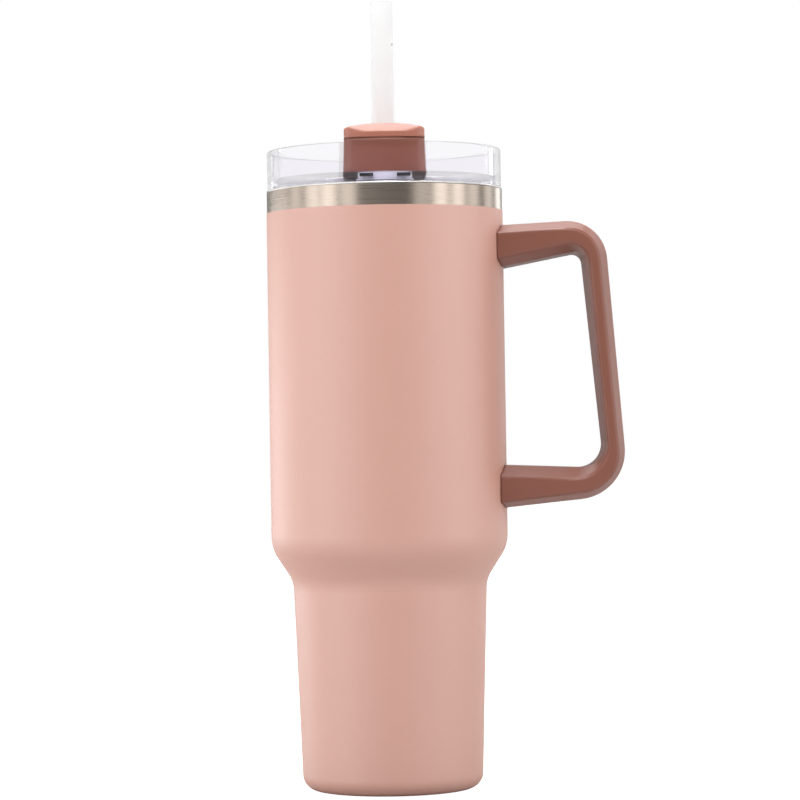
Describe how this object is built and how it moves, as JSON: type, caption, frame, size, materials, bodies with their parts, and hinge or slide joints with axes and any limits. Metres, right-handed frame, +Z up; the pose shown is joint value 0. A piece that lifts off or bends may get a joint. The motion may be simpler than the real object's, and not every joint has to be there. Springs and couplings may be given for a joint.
{
  "type": "insulated tumbler",
  "caption": "Tall insulated steel tumbler with a stepped body, bevelled side handle, clear lid with a turning cover, and a straight straw.",
  "frame": {"origin": "on the cup's axis, in the plane that the cup stands on", "axes": "+Z up along the cup's axis, +X towards the handle, -Y towards the side that one drinks from"},
  "size_m": [0.1464, 0.098, 0.3263],
  "materials": {
    "powder_coat": "matte powder coat",
    "brushed_steel": "brushed round the axis",
    "liner_steel": "electropolished, satin",
    "glass_solder": "glossy fused bead",
    "getter_metal": "sintered, matt",
    "foil": "bright foil",
    "handle_plastic": "fine spark texture",
    "bracket_steel": "plain sheet",
    "screw_steel": "plated",
    "clear_plastic": "clear, polished",
    "clear_silicone": "translucent, satin",
    "dark_silicone": "satin",
    "cover_plastic": "satin moulded",
    "cover_silicone": "satin",
    "clip_plastic": "natural acetal",
    "straw_plastic": "translucent, extruded"
  },
  "bodies": {
    "cup": {"outer_body": "powder_coat", "rim_band": "brushed_steel", "inner_liner": "liner_steel", "outer_base": "powder_coat", "base_cap": "brushed_steel", "vacuum_plug": "glass_solder", "getter": "getter_metal", "foil_wrap": "foil", "handle": "handle_plastic", "upper_bracket": "bracket_steel", "lower_bracket": "bracket_steel", "upper_screw": "screw_steel", "lower_screw": "screw_steel", "upper_plug": "handle_plastic", "lower_plug": "handle_plastic"},
    "lid": {"lid_body": "clear_plastic", "lid_gasket": "clear_silicone", "sip_seal": "clear_silicone", "left_catch": "dark_silicone", "right_catch": "dark_silicone"},
    "cover": {"turn_cover": "cover_plastic", "cover_cap": "cover_plastic", "straw_seal": "cover_silicone", "pivot_o_ring": "dark_silicone", "pivot_clip": "clip_plastic"},
    "straw": {"straw": "straw_plastic"}
  },
  "joints": [
    {"name": "lid_lift", "type": "slide", "parent": "cup", "child": "lid", "axis": [0, 0, 1], "range_m": [0, 0.26]},
    {"name": "cover_turn", "type": "hinge", "parent": "lid", "child": "cover", "pos_m": [0, 0, 0.26], "axis": [0, 0, 1], "range_deg": [-90, 90]},
    {"name": "straw_pull", "type": "slide", "parent": "cover", "child": "straw", "axis": [0, 0, 1], "range_m": [0, 0.27]}
  ]
}
